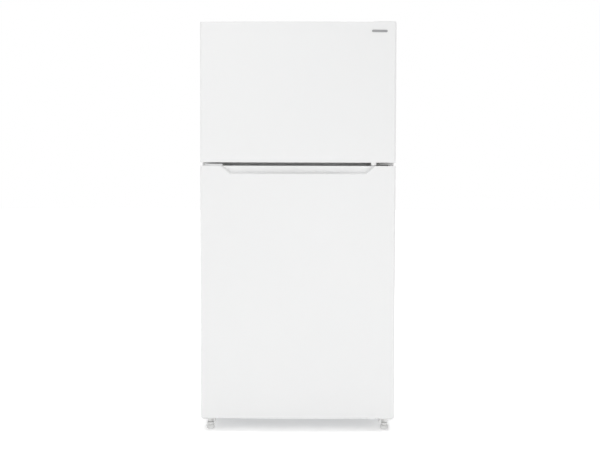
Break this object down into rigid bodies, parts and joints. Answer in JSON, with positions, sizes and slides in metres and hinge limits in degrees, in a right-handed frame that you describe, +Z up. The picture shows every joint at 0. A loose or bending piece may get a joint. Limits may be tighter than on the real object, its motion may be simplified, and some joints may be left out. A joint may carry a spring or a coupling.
{
  "type": "top freezer refrigerator",
  "caption": "White free-standing refrigerator with a freezer door above a larger fresh food door, both opened by a finger scoop where they meet.",
  "frame": {"origin": "on the floor, at the middle of the object's box", "axes": "+X to the right seen from the front, the side the doors hang on; -Y out of the doors; +Z up"},
  "size_m": [0.824, 0.85, 1.7385],
  "materials": {
    "white_enamel": "smooth gloss enamel",
    "white_plastic": "satin gloss",
    "liner_plastic": "satin, faintly textured",
    "hinge_paint": "painted steel",
    "zinc_steel": "zinc plated",
    "galvanised_sheet": "galvanised",
    "wire_coating": "epoxy coated wire",
    "foot_plastic": "moulded",
    "clear_plastic": "clear",
    "shelf_pane": "tempered",
    "gasket_rubber": "matt",
    "foam_core": "rigid foam",
    "compressor_paint": "semi-gloss black",
    "black_rubber": "matt",
    "fin_metal": "mill finish",
    "dark_plastic": "moulded",
    "grey_plastic": "moulded",
    "lens_plastic": "diffusing",
    "badge_metal": "dark satin"
  },
  "bodies": {
    "cabinet": {"outer_case": "white_enamel", "back_panel": "galvanised_sheet", "base_deck": "galvanised_sheet", "cabinet_foam": "foam_core", "fresh_food_liner": "liner_plastic", "freezer_liner": "liner_plastic", "mullion_plate": "white_enamel", "top_hinge": "zinc_steel", "top_hinge_cover": "white_plastic", "center_hinge": "hinge_paint", "bottom_hinge": "hinge_paint", "leg_bracket": "hinge_paint", "screws": "zinc_steel", "machine_tray": "galvanised_sheet", "compressor": "compressor_paint", "compressor_mounts": "black_rubber", "condenser": "fin_metal", "fan_shroud": "dark_plastic", "drain_pan": "dark_plastic", "rear_cover": "galvanised_sheet", "cord_gland": "dark_plastic", "wall_spacers": "grey_plastic", "evaporator": "fin_metal", "evaporator_cover": "liner_plastic", "freezer_shelf": "wire_coating", "shelf_frames": "white_plastic", "shelf_glass": "shelf_pane", "crisper_cover": "white_plastic", "shelf_ledges": "liner_plastic", "control_housing": "white_plastic", "lamp_lens": "lens_plastic"},
    "freezer_door": {"freezer_door_skin": "white_enamel", "freezer_door_top_cap": "white_plastic", "freezer_door_bottom_cap": "white_plastic", "freezer_door_foam": "foam_core", "freezer_door_liner": "liner_plastic", "freezer_door_gasket": "gasket_rubber", "freezer_door_bins": "clear_plastic", "badge": "badge_metal"},
    "fridge_door": {"fridge_door_skin": "white_enamel", "fridge_door_top_cap": "white_plastic", "fridge_door_bottom_cap": "white_plastic", "fridge_door_foam": "foam_core", "fridge_door_liner": "liner_plastic", "fridge_door_gasket": "gasket_rubber", "fridge_door_bins": "clear_plastic", "door_stop": "white_plastic"},
    "dairy_lid": {"dairy_lid": "clear_plastic"},
    "leg_left": {"leg_left": "foot_plastic"},
    "leg_right": {"leg_right": "foot_plastic"},
    "roller_left": {"roller_left": "grey_plastic"},
    "roller_right": {"roller_right": "grey_plastic"},
    "condenser_fan": {"condenser_fan": "dark_plastic"},
    "evaporator_fan": {"evaporator_fan": "grey_plastic"},
    "temperature_knob": {"temperature_knob": "grey_plastic"},
    "door_switch_button": {"door_switch_button": "white_plastic"},
    "crisper_left": {"crisper_left": "clear_plastic"},
    "crisper_right": {"crisper_right": "clear_plastic"},
    "deli_drawer": {"deli_drawer": "clear_plastic"},
    "ice_bin": {"ice_bin": "white_plastic"}
  },
  "joints": [
    {"name": "freezer_door_hinge", "type": "hinge", "parent": "cabinet", "child": "freezer_door", "pos_m": [0.392, -0.38, 1.437], "axis": [0, 0, 1], "range_deg": [0, 135]},
    {"name": "fridge_door_hinge", "type": "hinge", "parent": "cabinet", "child": "fridge_door", "pos_m": [0.392, -0.38, 0.594], "axis": [0, 0, 1], "range_deg": [0, 135]},
    {"name": "dairy_lid_hinge", "type": "hinge", "parent": "fridge_door", "child": "dairy_lid", "pos_m": [-0.159, -0.342, 0.9635], "axis": [1, 0, 0], "range_deg": [0, 90]},
    {"name": "leg_left_adjust", "type": "slide", "parent": "cabinet", "child": "leg_left", "axis": [0, 0, -1], "range_m": [0, 0.012]},
    {"name": "leg_right_adjust", "type": "slide", "parent": "cabinet", "child": "leg_right", "axis": [0, 0, -1], "range_m": [0, 0.012]},
    {"name": "roller_left_spin", "type": "hinge", "parent": "cabinet", "child": "roller_left", "pos_m": [-0.33, 0.34, 0.022], "axis": [1, 0, 0], "continuous": true},
    {"name": "roller_right_spin", "type": "hinge", "parent": "cabinet", "child": "roller_right", "pos_m": [0.33, 0.34, 0.022], "axis": [1, 0, 0], "continuous": true},
    {"name": "condenser_fan_spin", "type": "hinge", "parent": "cabinet", "child": "condenser_fan", "pos_m": [-0.086, 0.305, 0.15], "axis": [1, 0, 0], "continuous": true},
    {"name": "evaporator_fan_spin", "type": "hinge", "parent": "cabinet", "child": "evaporator_fan", "pos_m": [0, 0.269, 1.53], "axis": [0, 1, 0], "continuous": true},
    {"name": "temperature_knob_turn", "type": "hinge", "parent": "cabinet", "child": "temperature_knob", "pos_m": [0.11, -0.155, 1.083], "axis": [0, 1, 0], "range_deg": [-135, 135]},
    {"name": "door_switch_press", "type": "slide", "parent": "cabinet", "child": "door_switch_button", "axis": [0, 1, 0], "range_m": [0, 0.003], "stiffness_N_per_m": 20, "springref_m": -0.003},
    {"name": "crisper_left_slide", "type": "slide", "parent": "cabinet", "child": "crisper_left", "axis": [0, -1, 0], "range_m": [0, 0.07]},
    {"name": "crisper_right_slide", "type": "slide", "parent": "cabinet", "child": "crisper_right", "axis": [0, -1, 0], "range_m": [0, 0.07]},
    {"name": "deli_drawer_slide", "type": "slide", "parent": "cabinet", "child": "deli_drawer", "axis": [0, -1, 0], "range_m": [0, 0.07]},
    {"name": "ice_bin_slide", "type": "slide", "parent": "cabinet", "child": "ice_bin", "axis": [0, -1, 0], "range_m": [0, 0.07]}
  ]
}
